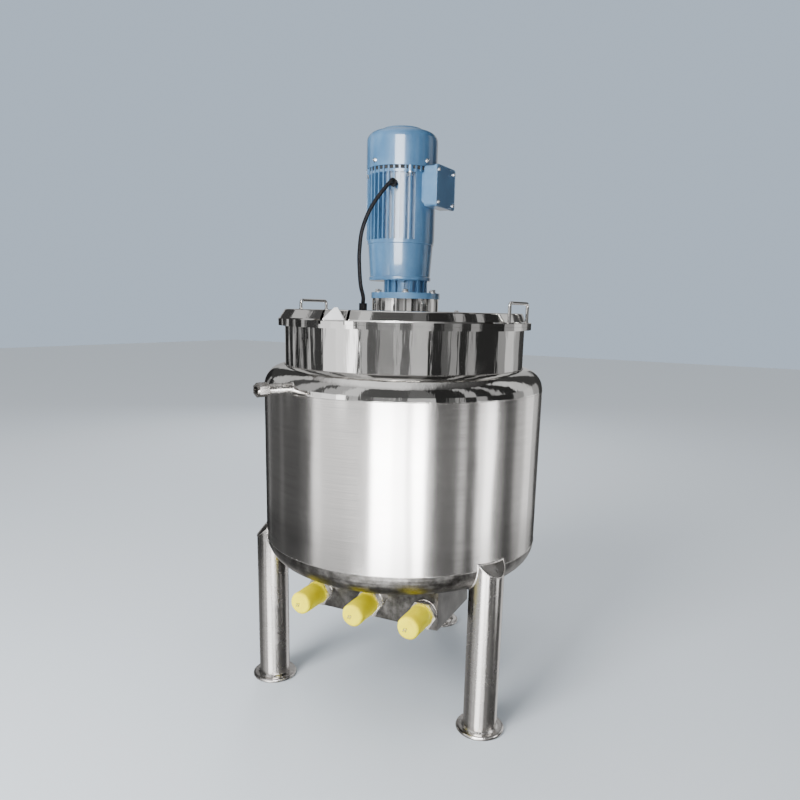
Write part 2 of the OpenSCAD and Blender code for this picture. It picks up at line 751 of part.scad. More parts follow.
// A tube of eight sides swept along the lead's points
module lead_tube(points, d) {
    sides = 8;
    count = len(points);
    rings = [for (i = [0:count - 1])
        let (w = lead_way(i), a = unit(cross(w, [0.6, -0.8, 0])), b = cross(w, a))
        for (k = [0:sides - 1]) points[i] + d / 2 * (cos(k * 360 / sides) * a + sin(k * 360 / sides) * b)];
    walls = [for (i = [0:count - 2], k = [0:sides - 1]) let (n = (k + 1) % sides)
        [i * sides + k, i * sides + n, (i + 1) * sides + n, (i + 1) * sides + k]];
    ends = [[for (k = [sides - 1:-1:0]) k], [for (k = [0:sides - 1]) (count - 1) * sides + k]];
    polyhedron(rings, concat(walls, ends));
}

module motor_lead() { color(rubber_black) lead_tube(lead_points, lead_d); }

// Gland on the motor frame, pointing along the lead's first stretch
module lead_gland_motor() {
    color(rubber_black) on_motor_axis(frame_z + gland_up) facing(gland_turn)
        translate([fin_r + weld_gap, 0, 0]) rotate([0, 90, 0])
            cylinder(d = gland_d, h = gland_len - weld_gap);
}

module lead_gland_bridge() {
    color(rubber_black) translate([lead_foot[0], lead_foot[1], lid_top_z])
        cylinder(d = gland_d, h = gland_len);
}

module mixing_shaft() {
    color(steel) translate([0, 0, shaft_low_z]) cylinder(d = shaft_d, h = neck_z - shaft_low_z);
}

// Hub with two flat blades set at a slope
module mixing_paddle() {
    color(steel) translate([0, 0, shaft_low_z + shaft_end]) difference() {
        union() {
            cylinder(d = hub_d, h = hub_h);
            for (side = [-1, 1]) translate([0, side * paddle_d / 4, hub_h / 2])
                rotate([0, side * blade_slope, 0]) cube([blade_t, paddle_d / 2, blade_w], center = true);
        }
        translate([0, 0, -blade_w]) cylinder(r = shaft_d / 2 + weld_gap, h = hub_h + 2 * blade_w);
    }
}

// Places a piece in the heater box's own directions: x outwards, y across
module heater_frame() {
    facing(heater_turn) translate([0, heater_shift, 0]) children();
}

function heater_y(i) = (i - 1) * heater_pitch;

// A piece on the axis of heater i, at a distance from the tank axis, pointing outwards
module on_heater(i, x) {
    heater_frame() translate([x, heater_y(i), heater_z]) rotate([0, 90, 0]) children();
}

// Sheet box under the jacket, open to it and trimmed by its bottom
module heater_box() {
    depth = heater_front - heater_back;
    color(steel_dull) difference() {
        heater_frame() difference() {
            translate([heater_back, -heater_w / 2, heater_low_z])
                cube([depth, heater_w, jacket_low_z - heater_low_z]);
            translate([heater_back + sheet_t, -heater_w / 2 + sheet_t, heater_low_z + sheet_t])
                cube([depth - 2 * sheet_t, heater_w - 2 * sheet_t, jacket_low_z]);
        }
        jacket_solid();
        for (i = [0:2]) on_heater(i, heater_back + sheet_t) cylinder(d = socket_bore, h = depth);
    }
}

module heater_sockets() {
    color(steel) for (i = [0:2]) on_heater(i, heater_front) ring(socket_d / 2, socket_bore / 2, socket_len);
}

// The hexagons stand with a flat on top, close under the jacket
module heater_heads() {
    color(steel) for (i = [0:2]) on_heater(i, heater_front + socket_len) rotate([0, 0, 30])
        cylinder(d = heater_hex / cos(30), h = heater_hex_t, $fn = 6);
}

// A moulded cap pushed over the heater's end: slightly tapered, round at its closed front
module heater_cap(i) {
    front_r = cap_front_d / 2;
    color(cap_yellow) on_heater(i, heater_front + socket_len + heater_hex_t) difference() {
        rotate_extrude() polygon(concat(
            [[0, 0], [cap_d / 2, 0]],
            arc(front_r - cap_round, cap_len - cap_round, cap_round, 0, 90, 5),
            [[0, cap_len]]
        ));
        translate([0, 0, -eps]) cylinder(r = front_r - cap_wall, h = cap_len - cap_round - cap_wall);
    }
}

module heater_cap_left() { heater_cap(0); }
module heater_cap_middle() { heater_cap(1); }
module heater_cap_right() { heater_cap(2); }

// The nipple's axis, pointing outwards from the tank axis
module nipple_place() {
    facing(nipple_turn) translate([0, 0, nipple_z]) rotate([0, 90, 0]) children();
}

module jacket_nipple() {
    start = jacket_r - shoulder_r / 2;
    color(steel) nipple_place() translate([0, 0, start])
        ring(nipple_d / 2, nipple_bore / 2, nipple_reach - start);
}

module nipple_union() {
    color(steel) nipple_place() translate([0, 0, nipple_reach - nipple_end - nipple_hex_len]) difference() {
        cylinder(d = nipple_hex / cos(30), h = nipple_hex_len, $fn = 6);
        translate([0, 0, -eps]) cylinder(r = nipple_d / 2 + weld_gap, h = nipple_hex_len + 2 * eps);
    }
}

// Outlet pipe from the vessel's bottom, through the jacket's, with a clamp ferrule
module bottom_outlet() {
    color(steel) translate([0, 0, drain_low_z]) {
        ring(drain_d / 2, drain_bore / 2, vessel_dish_low_z + sheet_t - drain_low_z);
        ring(ferrule_d / 2, drain_bore / 2, ferrule_t);
    }
}

vessel_wall();
vessel_bottom();
rim_ring();
jacket_wall();
jacket_shoulder();
jacket_bottom();
leg_right();
leg_left();
leg_back();
foot_right();
foot_left();
foot_back();
bridge_beam();
bridge_deck();
bridge_gusset_front();
bridge_gusset_back();
bridge_hinge_leaves();
hinge_pins();
lid_right();
lid_left();
lid_hinge_right();
lid_hinge_left();
lid_handle_right();
lid_handle_left();
pedestal_ring();
drive_flange();
drive_neck();
gear_housing();
motor_frame();
motor_end_shield();
fan_cowl();
cowl_cap();
terminal_box();
terminal_box_lid();
motor_lead();
lead_gland_motor();
lead_gland_bridge();
mixing_shaft();
mixing_paddle();
heater_box();
heater_sockets();
heater_heads();
heater_cap_left();
heater_cap_middle();
heater_cap_right();
jacket_nipple();
nipple_union();
bottom_outlet();
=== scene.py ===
import math

import bpy
import numpy as np
from mathutils import Matrix, Vector


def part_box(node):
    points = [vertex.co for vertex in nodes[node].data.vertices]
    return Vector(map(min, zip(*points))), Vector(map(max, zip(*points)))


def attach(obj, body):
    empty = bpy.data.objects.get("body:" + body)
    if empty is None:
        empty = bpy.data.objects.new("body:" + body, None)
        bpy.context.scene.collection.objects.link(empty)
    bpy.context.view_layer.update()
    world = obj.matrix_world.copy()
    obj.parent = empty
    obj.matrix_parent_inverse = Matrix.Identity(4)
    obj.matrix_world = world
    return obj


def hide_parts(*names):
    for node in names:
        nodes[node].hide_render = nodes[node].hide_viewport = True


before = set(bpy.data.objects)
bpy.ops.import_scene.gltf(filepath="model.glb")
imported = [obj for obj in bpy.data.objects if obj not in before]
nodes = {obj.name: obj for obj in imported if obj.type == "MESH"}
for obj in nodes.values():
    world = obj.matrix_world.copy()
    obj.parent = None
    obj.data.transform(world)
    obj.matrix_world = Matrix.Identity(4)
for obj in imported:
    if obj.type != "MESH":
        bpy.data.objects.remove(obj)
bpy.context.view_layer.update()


# The studio floor, a plain pale matt sheet that runs far past the tank. It is stage and not part of the tank.
# Reflections don't see it: what the steel shows from below comes from the world.
FLOOR_REACH = 14.0
FLOOR_GREY = (0.60, 0.65, 0.70)


def put_in_scene(name, data):
    """A new object at the origin that shows a mesh, a lamp or a camera."""
    item = bpy.data.objects.new(name, data)
    bpy.context.scene.collection.objects.link(item)
    return item


floor_mesh = bpy.data.meshes.new("studio_floor")
floor_mesh.from_pydata([(-FLOOR_REACH, -FLOOR_REACH, 0), (FLOOR_REACH, -FLOOR_REACH, 0),
                        (FLOOR_REACH, FLOOR_REACH, 0), (-FLOOR_REACH, FLOOR_REACH, 0)], [], [(0, 1, 2, 3)])
floor_paint = bpy.data.materials.new("pale_floor")
floor_paint.use_nodes = True
floor_shader = floor_paint.node_tree.nodes["Principled BSDF"]
floor_shader.inputs["Base Color"].default_value = (*FLOOR_GREY, 1)
floor_shader.inputs["Roughness"].default_value = 0.9
floor_shader.inputs["Specular IOR Level"].default_value = 0.0
floor_mesh.materials.append(floor_paint)
floor = put_in_scene("studio_floor", floor_mesh)
floor.visible_glossy = False


# The camera stands 1.75 m from the tank's axis and 0.98 m high, 30 degrees round from the front towards +X.
# Its place, pitch and roll come from the ellipses of the welds and the legs in the photo.
CAMERA_TURN = math.radians(30.0)
CAMERA_FAR = 1.751
CAMERA_HIGH = 0.9816
CAMERA_PITCH = math.radians(11.586)
CAMERA_ROLL = math.radians(1.212)
CAMERA_YAW = math.radians(-0.164)
FOCAL_PIXELS = 682.9
PICTURE = 800
CENTRE_DROP = 50
SENSOR_WIDE = 36


def photo_camera():
    """Camera axes from pitch, yaw and roll: forward is +Y turned by yaw and dipped by pitch, then the
    right and up directions are rolled about it, and all are turned about Z to the camera's place."""
    turn = Matrix.Rotation(CAMERA_TURN, 3, "Z")
    level = math.cos(CAMERA_PITCH)
    ahead = Vector((math.sin(CAMERA_YAW) * level, math.cos(CAMERA_YAW) * level, -math.sin(CAMERA_PITCH)))
    right = Vector((math.cos(CAMERA_YAW), -math.sin(CAMERA_YAW), 0))
    up = right.cross(ahead)
    c, s = math.cos(CAMERA_ROLL), math.sin(CAMERA_ROLL)
    right, up = c * right + s * up, c * up - s * right
    axes = Matrix((turn @ right, turn @ up, turn @ -ahead)).transposed()
    place = turn @ Vector((0, -CAMERA_FAR, CAMERA_HIGH))
    data = bpy.data.cameras.new("photo_camera")
    data.sensor_width = SENSOR_WIDE
    data.lens = SENSOR_WIDE * FOCAL_PIXELS / PICTURE
    data.shift_y = CENTRE_DROP / PICTURE
    data.clip_start, data.clip_end = 0.05, 100
    camera = put_in_scene("photo_camera", data)
    camera.matrix_world = Matrix.Translation(place) @ axes.to_4x4()
    bpy.context.scene.camera = camera


photo_camera()


# The studio's reflector boards: cards that only reflections see, white and dark by turns, as for any photo of
# polished steel. They stand in a ring round the tank, in four rows. A card is written as where it starts, in
# degrees round from the camera's side towards the right, and its brightness. The lowest row is a dimmed copy.
BOARD_RING = 1.15
ROW_EDGES = (0.002, 0.20, 0.72, 1.02, 1.95)
FOOT_DIM = 0.45
CARD_STEPS = 240
JACKET_ROW = [(-180, 0.4), (-146, 0.03), (-128, 0.25), (-122, 0.10), (-101, 0.18), (-95, 0.10), (-76, 0.14),
              (-64, 1.9), (-57, 1.3), (-37, 1.5), (-20, 20.0), (-6, 14.0), (3, 6.0), (8, 20.0), (15, 1.0),
              (21, 0.20), (38, 0.9), (43, 0.14), (52, 2.4), (59, 5.0), (67, 0.35), (77, 0.12), (90, 0.7),
              (100, 1.5), (116, 0.6), (126, 0.05), (142, 0.4), (160, 0.7)]
NECK_ROW = [(-180, 0.4), (-146, 0.02), (-128, 0.5), (-124, 0.03), (-114, 0.6), (-110, 0.03), (-101, 0.35),
            (-97, 0.03), (-88, 0.5), (-84, 0.05), (-69, 1.3), (-57, 1.5), (-45, 3.6), (-38, 0.04), (-34, 0.6),
            (-29, 0.12), (-20, 0.35), (-8, 0.6), (-3, 0.15), (4, 0.7), (19, 0.03), (28, 0.12), (36, 0.35),
            (42, 0.03), (51, 0.4), (58, 0.03), (84, 0.35), (97, 0.9), (112, 0.4), (126, 0.05), (150, 0.6)]
LID_ROW = [(-180, 0.5), (-146, 0.05), (-120, 0.6), (-100, 0.08), (-84, 0.5), (-66, 0.10), (-57, 0.5),
           (-40, 0.9), (-28, 0.10), (6, 0.16), (19, 0.03), (44, 0.5), (52, 0.03), (66, 0.45), (74, 0.03),
           (92, 0.8), (112, 0.06), (140, 0.5)]
FOOT_ROW = [(start, level * FOOT_DIM) for start, level in JACKET_ROW]


def add_node(tree, kind, values=(), **settings):
    """A new shader node with its settings made and the named sockets' values set."""
    node = tree.nodes.new(kind)
    for key, value in settings.items():
        setattr(node, key, value)
    for key, value in dict(values).items():
        node.inputs[key].default_value = value
    return node


def glow_paint():
    """Emission whose brightness is written on each face of the cards."""
    paint = bpy.data.materials.new("reflector_boards")
    paint.use_nodes = True
    tree = paint.node_tree
    tree.nodes.remove(tree.nodes["Principled BSDF"])
    level = add_node(tree, "ShaderNodeAttribute", attribute_name="brightness")
    glow = add_node(tree, "ShaderNodeEmission")
    tree.links.new(level.outputs["Fac"], glow.inputs["Strength"])
    tree.links.new(glow.outputs[0], tree.nodes["Material Output"].inputs["Surface"])
    return paint


def board_ring(name, rows):
    """An upright ring of narrow faces, with a row between each two edges. Each face looks up its own angle, less
    the camera's, in its row's list of starts. The camera, soft light and shadows pass it."""
    angle = np.linspace(-np.pi, np.pi, CARD_STEPS, endpoint=False)
    turned = angle + CAMERA_TURN - np.pi / 2
    circle = BOARD_RING * np.column_stack([np.cos(turned), np.sin(turned)])
    points = np.vstack([np.column_stack([circle, np.full(CARD_STEPS, high)]) for high in ROW_EDGES])
    here = np.arange(CARD_STEPS)
    after = (here + 1) % CARD_STEPS
    cards = np.column_stack([here, here + CARD_STEPS, after + CARD_STEPS, after])
    mesh = bpy.data.meshes.new(name)
    mesh.from_pydata(points.tolist(), [], np.vstack([cards + k * CARD_STEPS for k in range(len(rows))]).tolist())
    middle = np.degrees(angle + np.pi / CARD_STEPS)
    brightness = []
    for row in rows:
        starts, levels = np.array(row).T
        brightness.append(levels[np.searchsorted(starts, middle, side="right") - 1])
    mesh.attributes.new("brightness", "FLOAT", "FACE").data.foreach_set("value", np.concatenate(brightness))
    mesh.materials.append(glow_paint())
    ring = put_in_scene(name, mesh)
    ring.visible_camera = ring.visible_diffuse = ring.visible_shadow = False


board_ring("reflector_boards", (FOOT_ROW, JACKET_ROW, NECK_ROW, LID_ROW))


# What reflections see past the boards. By the height z of a direction there is a pale wall, then the ceiling's
# dark edge, 33 to 44 degrees up, and a pale ceiling, which is dark on the right. Below the horizon stands a
# row of cards for the legs, written as the boards are.
BACKDROP = (0.50, 0.61, 0.74)
CEILING_EDGE = (0.075, 0.066, 0.058)
CEILING = (1.25, 1.25, 1.25)
SKY = ((0.0, BACKDROP), (0.48, BACKDROP), (0.55, CEILING_EDGE), (0.70, CEILING_EDGE), (0.92, CEILING))
RIGHT_REACH = 0.35
RIGHT_DIM = 0.10
LEG_ROW = [(-180, 0.3), (-130, 0.2), (-90, 0.5), (-70, 0.9), (-42, 5.5), (-12, 2.4), (14, 0.32), (42, 0.15),
           (60, 0.08), (115, 1.0), (150, 0.3)]
DOWN_FROM, DOWN_TO = -0.65, -0.95
DOWN_DIM = 0.25


def colour_ramp(tree, factor, stops, blend="LINEAR"):
    """Turns a factor into colour by its stops, each a place and a colour, which run into each other or step."""
    node = add_node(tree, "ShaderNodeValToRGB")
    node.color_ramp.interpolation = blend
    ends = node.color_ramp.elements
    ends[0].position, ends[0].color = stops[0][0], (*stops[0][1], 1)
    ends[1].position, ends[1].color = stops[-1][0], (*stops[-1][1], 1)
    for place, colour in stops[1:-1]:
        ends.new(place).color = (*colour, 1)
    tree.links.new(factor, node.inputs["Fac"])
    return node.outputs["Color"]


def low_cards(tree, split, above):
    """Below the horizon: the angle atan2(y, x), less the camera's own, looks up the low cards' starts on a
    stepped ramp, which dims towards straight down."""
    join = tree.links.new
    angle = add_node(tree, "ShaderNodeMath", operation="ARCTAN2")
    join(split.outputs["Y"], angle.inputs[0])
    join(split.outputs["X"], angle.inputs[1])
    turned = add_node(tree, "ShaderNodeMath", {1: CAMERA_TURN - math.pi / 2}, operation="SUBTRACT")
    join(angle.outputs[0], turned.inputs[0])
    wrapped = add_node(tree, "ShaderNodeMath", {1: math.pi, 2: -math.pi}, operation="WRAP")
    join(turned.outputs[0], wrapped.inputs[0])
    share = add_node(tree, "ShaderNodeMapRange", {"From Min": -math.pi, "From Max": math.pi})
    join(wrapped.outputs[0], share.inputs["Value"])
    stops = [((start + 180) / 360, (level, level, level)) for start, level in LEG_ROW]
    dim = add_node(tree, "ShaderNodeMapRange", {"From Min": DOWN_TO, "From Max": DOWN_FROM, "To Min": DOWN_DIM})
    join(split.outputs["Z"], dim.inputs["Value"])
    below = add_node(tree, "ShaderNodeBackground")
    join(colour_ramp(tree, share.outputs["Result"], stops, "CONSTANT"), below.inputs["Color"])
    join(dim.outputs["Result"], below.inputs["Strength"])
    side = add_node(tree, "ShaderNodeMath", {1: 0.0}, operation="GREATER_THAN")
    join(split.outputs["Z"], side.inputs[0])
    both = add_node(tree, "ShaderNodeMixShader")
    join(side.outputs[0], both.inputs["Fac"])
    join(below.outputs[0], both.inputs[1])
    join(above, both.inputs[2])
    return both.outputs[0]


def studio_world():
    """Soft light from all round: the sky's ramp by height, dimmed by how far a direction turns to the camera's
    right, over the low cards. The camera itself sees a plain pale backdrop."""
    world = bpy.data.worlds.new("studio")
    bpy.context.scene.world = world
    world.use_nodes = True
    tree = world.node_tree
    join = tree.links.new
    where = add_node(tree, "ShaderNodeTexCoord").outputs["Generated"]
    split = add_node(tree, "ShaderNodeSeparateXYZ")
    join(where, split.inputs[0])
    rightwards = add_node(tree, "ShaderNodeVectorMath", {1: (math.cos(CAMERA_TURN), math.sin(CAMERA_TURN), 0)},
                          operation="DOT_PRODUCT")
    join(where, rightwards.inputs[0])
    fade = add_node(tree, "ShaderNodeMapRange", {"From Max": RIGHT_REACH, "To Min": 1.0, "To Max": RIGHT_DIM})
    join(rightwards.outputs["Value"], fade.inputs["Value"])
    light = tree.nodes["Background"]
    join(colour_ramp(tree, split.outputs["Z"], SKY), light.inputs["Color"])
    join(fade.outputs["Result"], light.inputs["Strength"])
    plain = add_node(tree, "ShaderNodeBackground", {"Color": (*BACKDROP, 1)})
    rays = add_node(tree, "ShaderNodeLightPath")
    pick = add_node(tree, "ShaderNodeMixShader")
    join(rays.outputs["Is Camera Ray"], pick.inputs["Fac"])
    join(low_cards(tree, split, light.outputs[0]), pick.inputs[1])
    join(plain.outputs[0], pick.inputs[2])
    join(pick.outputs[0], tree.nodes["World Output"].inputs["Surface"])


studio_world()


# The studio's lamps: a strong one high on the left, a weak one on the right, a low one for the legs and heaters
# and one behind. Polished metal reflects the boards and not these.
def soft_lamp(name, place, target, size, power):
    """An oblong area lamp at a place, turned to face its target and hidden from reflections."""
    data = bpy.data.lights.new(name, "AREA")
    data.shape = "RECTANGLE"
    data.size, data.size_y = size
    data.energy = power
    lamp = put_in_scene(name, data)
    lamp.location = place
    lamp.rotation_mode = "QUATERNION"
    lamp.rotation_quaternion = (Vector(target) - Vector(place)).to_track_quat("-Z", "Y")
    lamp.visible_glossy = False
    return lamp


soft_lamp("key_box", place=(-0.6, -3.8, 3.0), target=(0, 0, 0.7), size=(1.6, 2.6), power=230)
soft_lamp("side_box", place=(3.8, -0.6, 2.2), target=(0, 0, 0.7), size=(0.9, 2.4), power=10)
soft_lamp("low_box", place=(-0.5, -2.4, 0.7), target=(0, -0.2, 0.3), size=(1.6, 0.5), power=60)
soft_lamp("back_box", place=(-2.6, 3.4, 2.6), target=(0, 0, 0.8), size=(1.2, 2.2), power=60)


# A narrow strip lamp near the motor, a little left of the camera's line, draws the upright streak on its enamel.
# Only reflections see it.
STRIP_TURN = CAMERA_TURN - math.pi / 2 - math.radians(9)
STRIP_FAR = 0.32
STRIP_HIGH = 1.27
strip_place = (STRIP_FAR * math.cos(STRIP_TURN), STRIP_FAR * math.sin(STRIP_TURN), STRIP_HIGH)
motor_strip = soft_lamp("motor_strip", strip_place, target=(0, 0, STRIP_HIGH), size=(0.15, 0.40), power=4)
motor_strip.visible_glossy = True
motor_strip.visible_camera = motor_strip.visible_diffuse = False


# An even light from straight above, spread wide, keeps the far floor as pale as the near floor. Reflections
# don't see it either.
SKY_POWER = 1.2
SKY_SPREAD = math.radians(60)
sky_data = bpy.data.lights.new("even_sky", "SUN")
sky_data.energy = SKY_POWER
sky_data.angle = SKY_SPREAD
even_sky = put_in_scene("even_sky", sky_data)
even_sky.visible_glossy = False


# The motor lead, a black sheathed cable 9 mm thick. It leaves a gland on the motor's frame, bows out over the
# lid's bridge and drops into a gland there. Its points repeat the CAD route, in millimetres.
LEAD_THICK = 0.009
LEAD_SIDES = 16
LEAD_STEPS = 6
LEAD_ROUTE = np.array([
    [14.9, -95.8, 1270], [18.0, -105.3, 1270], [5, -131, 1240], [-6, -160, 1199], [-14, -177, 1155],
    [-16, -183, 1115], [-14, -187, 1084], [-6, -193, 1037], [0, -191, 1010], [0, -191, 995]]) / 1000


def smooth_route(points, per_span):
    """Catmull-Rom curve through the points: each span is the cubic whose end slopes are half the chord
    between the neighbouring points."""
    p = np.vstack([2 * points[0] - points[1], points, 2 * points[-1] - points[-2]])
    t = np.linspace(0, 1, per_span, endpoint=False)[None, :, None]
    a, b, c, d = p[:-3, None], p[1:-2, None], p[2:-1, None], p[3:, None]
    curve = 0.5 * (2 * b + (c - a) * t + (2 * a - 5 * b + 4 * c - d) * t ** 2
                   + (3 * b - a - 3 * c + d) * t ** 3)
    return np.vstack([curve.reshape(-1, 3), points[-1]])


def mesh_piece(name, vertices, faces, material, body, slot, smooth=True):
    """Puts a worked-out surface into a mesh object at the origin, with its material and body. The slot is not
    used.
    """
    mesh = bpy.data.meshes.new(name)
    mesh.from_pydata(np.asarray(vertices).tolist(), [], [list(map(int, f)) for f in faces])
    mesh.update()
    if smooth:
        mesh.shade_smooth()
    mesh.materials.append(material)
    piece = put_in_scene(name, mesh)
    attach(piece, body)
    return piece


def grid_faces(rows, columns):
    """Quads of a rows x columns grid of points whose columns close into a ring."""
    r = np.arange(rows - 1)[:, None]
    c = np.arange(columns)[None, :]
    n = (c + 1) % columns
    return np.stack(np.broadcast_arrays(r * columns + c, r * columns + n, (r + 1) * columns + n,
                                        (r + 1) * columns + c), -1).reshape(-1, 4)


def tube_along(path, radii, sides):
    """Carries a circle along a path: at each point the circle stands square to the path, on two directions
    worked out from the path's tangent and a fixed side vector. Both ends are closed by one face."""
    fixed = (0.6, -0.8, 0.01)
    tangent = np.gradient(path, axis=0)
    tangent /= np.linalg.norm(tangent, axis=1)[:, None]
    across = np.cross(tangent, fixed)
    across /= np.linalg.norm(across, axis=1)[:, None]
    other = np.cross(tangent, across)
    angle = np.linspace(0, 2 * np.pi, sides, endpoint=False)[None, :, None]
    radii = np.broadcast_to(radii, len(path))[:, None, None]
    ring = path[:, None] + radii * (np.cos(angle) * across[:, None] + np.sin(angle) * other[:, None])
    faces = [tuple(f) for f in grid_faces(len(path), sides)]
    last = (len(path) - 1) * sides
    return ring.reshape(-1, 3), faces + [tuple(range(sides - 1, -1, -1)), tuple(range(last, last + sides))]


class Paint:
    """Short hand for a procedural material: each pattern and finish is a method, in the object's own
    coordinates. Values are set on the shader's own sockets, an underscore standing for a space."""

    def __init__(self, name, **values):
        self.material = bpy.data.materials.new(name)
        self.material.use_nodes = True
        self.tree = self.material.node_tree
        self.shader = self.tree.nodes["Principled BSDF"]
        self.where = add_node(self.tree, "ShaderNodeTexCoord").outputs["Object"]
        self.normal = None
        for key, value in values.items():
            self.shader.inputs[key.replace("_", " ")].default_value = value

    def feed(self, out, kind, socket, values):
        """A new node that takes another one's output on one socket."""
        node = add_node(self.tree, kind, values)
        self.tree.links.new(out, node.inputs[socket])
        return node

    def noise(self, scale, detail=3.0, rough=0.5, stretch=(1, 1, 1)):
        """Cloudy noise, finer with a larger scale, and drawn out along an axis whose stretch is small."""
        placed = self.feed(self.where, "ShaderNodeMapping", "Vector", {"Scale": stretch})
        node = self.feed(placed.outputs["Vector"], "ShaderNodeTexNoise", "Vector",
                         {"Scale": scale, "Detail": detail, "Roughness": rough})
        return node.outputs["Fac"]

    def colour(self, pattern, stops):
        """The pattern picks the colour between stops, each a place and a colour."""
        self.tree.links.new(colour_ramp(self.tree, pattern, stops), self.shader.inputs["Base Color"])

    def roughness(self, pattern, low, high):
        """Roughness from low to high, as the pattern goes from 0.3 to 0.7, where most of the noise lies."""
        node = self.feed(pattern, "ShaderNodeMapRange", "Value",
                         {"From Min": 0.3, "From Max": 0.7, "To Min": low, "To Max": high})
        self.tree.links.new(node.outputs["Result"], self.shader.inputs["Roughness"])

    def bump(self, pattern, depth):
        """Adds a layer of relief: its height in metres is the pattern times the depth."""
        node = self.feed(pattern, "ShaderNodeBump", "Height", {"Strength": 1.0, "Distance": depth})
        if self.normal is not None:
            self.tree.links.new(self.normal, node.inputs["Normal"])
        self.normal = node.outputs["Normal"]
        self.tree.links.new(self.normal, self.shader.inputs["Normal"])


def cable_rubber():
    """Black sheath: matt, with a faint mottle."""
    paint = Paint("cable_rubber", Roughness=0.6, Specular_IOR_Level=0.08)
    paint.colour(paint.noise(60, 4), [(0.3, (0.003, 0.003, 0.004)), (0.7, (0.009, 0.009, 0.010))])
    paint.bump(paint.noise(700, 2), 0.0001)
    return paint.material


def dress(material, *names):
    """Gives CAD nodes their finished material, in place of the plain one they came with."""
    for name in names:
        mesh = nodes[name].data
        mesh.materials.clear()
        mesh.materials.append(material)


CABLE_RUBBER = cable_rubber()
lead_path = smooth_route(LEAD_ROUTE, LEAD_STEPS)
lead = mesh_piece("motor_lead_cable", *tube_along(lead_path, LEAD_THICK / 2, LEAD_SIDES), CABLE_RUBBER, "tank",
                  "black_rubber")
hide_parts("motor_lead")
dress(CABLE_RUBBER, "lead_gland_motor", "lead_gland_bridge")


# The vessel's neck, the jacket's shoulder, the lid and its bridge: stainless sheet, rolled and then polished to
# a mirror by hand. It still has slow waves from the rolling, which bend every reflection, and faint polish haze.
def mirror_steel(name, wave):
    """Near-white metal: slow noise clouds its colour and roughness, and stretched noise gives the waves."""
    paint = Paint(name, Metallic=1.0)
    haze = paint.noise(4.0, 4, 0.6, (1, 1, 0.5))
    paint.colour(haze, [(0.3, (0.66, 0.65, 0.63)), (0.55, (0.80, 0.79, 0.77)), (0.8, (0.86, 0.85, 0.84))])
    paint.roughness(paint.noise(9.0, 5, 0.65), 0.05, 0.12)
    paint.bump(paint.noise(7.0, 3, 0.5, (1, 1, 0.3)), wave)
    paint.bump(paint.noise(45.0, 3, 0.6, (1, 1, 0.08)), wave / 5)
    paint.bump(paint.noise(600, 2, 0.5, (0.03, 0.03, 1)), 0.00001)
    return paint.material


MIRROR_WALL = mirror_steel("mirror_steel", 0.0035)
MIRROR_LID = mirror_steel("mirror_steel_lid", 0.0020)
dress(MIRROR_WALL, "vessel_wall")
dress(MIRROR_LID, "rim_ring", "lid_right", "lid_left", "bridge_beam", "bridge_deck", "lid_handle_right",
      "lid_handle_left", "pedestal_ring", "hinge_pins")


# The three-cornered gussets at the bridge's ends: cut from stainless sheet and welded on. Their pale steel is
# brightened to near-white, a painted highlight for a bright reflection, and shows no reflections of its own.
def satin_steel():
    """Bright metal, its near-white colour a painted highlight, with a wide, even gloss and faint clouds."""
    paint = Paint("satin_steel", Metallic=0.45)
    paint.colour(paint.noise(40, 3), [(0.3, (0.84, 0.84, 0.83)), (0.7, (0.94, 0.94, 0.93))])
    paint.roughness(paint.noise(90, 3), 0.40, 0.50)
    return paint.material


dress(satin_steel(), "bridge_gusset_front", "bridge_gusset_back")


# The jacket's wall, the legs, the vessel's bottom and the mixer inside: stainless sheet and tube, brushed round
# by a belt. The fine grain runs level, so highlights stretch upright. The tubes are darker than the wall.
def brushed_steel(name, colour, low, high, grain):
    """Metal with anisotropic gloss about the upright axis; noise squeezed along Z draws the grain."""
    paint = Paint(name, Metallic=1.0, Anisotropic=0.75, Anisotropic_Rotation=0.25)
    shade = [(0.25, tuple(0.82 * c for c in colour)), (0.5, colour), (0.75, tuple(1.08 * c for c in colour))]
    paint.colour(paint.noise(700, 3, 0.6, (0.008, 0.008, 1)), shade)
    paint.roughness(paint.noise(12.0, 5, 0.65), low, high)
    paint.bump(paint.noise(4.5, 2, 0.4, (1, 1, 0.3)), 0.006)
    paint.bump(paint.noise(1600, 2, 0.5, (0.01, 0.01, 1)), grain)
    around = add_node(paint.tree, "ShaderNodeTangent", direction_type="RADIAL", axis="Z")
    paint.tree.links.new(around.outputs["Tangent"], paint.shader.inputs["Tangent"])
    return paint.material


BRUSHED_WALL = brushed_steel("brushed_steel", (0.74, 0.72, 0.70), 0.19, 0.25, 0.000012)
BRUSHED_TUBE = brushed_steel("brushed_tube", (0.56, 0.54, 0.52), 0.20, 0.32, 0.00002)
dress(BRUSHED_WALL, "jacket_wall")
dress(BRUSHED_TUBE, "leg_right", "leg_left", "leg_back", "vessel_bottom", "bottom_outlet", "mixing_shaft",
      "mixing_paddle")


# The jacket's dished bottom, the hinges and the heater box: pickled sheet straight from the weld shop, grey and
# mottled. The box is darker than the rest: painted shade for the dark its front reflects.
def pickled_steel(name, dim):
    """Dull metal with two sizes of mottle in its colour and roughness. Dim, painted shade below 1, scales its
    colours.
    """
    paint = Paint(name, Metallic=1.0)
    mottle = ((0.3, (0.05, 0.047, 0.043)), (0.5, (0.15, 0.145, 0.137)), (0.72, (0.33, 0.32, 0.31)))
    paint.colour(paint.noise(30, 6, 0.7), [(place, tuple(dim * c for c in colour)) for place, colour in mottle])
    paint.roughness(paint.noise(60, 4, 0.6), 0.30, 0.46)
    paint.bump(paint.noise(160, 4, 0.6), 0.00025)
    return paint.material


dress(pickled_steel("pickled_steel", 1.0), "jacket_bottom", "bridge_hinge_leaves", "lid_hinge_right",
      "lid_hinge_left")
# The heater box's copy is dimmed to 0.55: painted shade for the dark its front reflects.
dress(pickled_steel("box_sheet_painted_shade", 0.55), "heater_box")


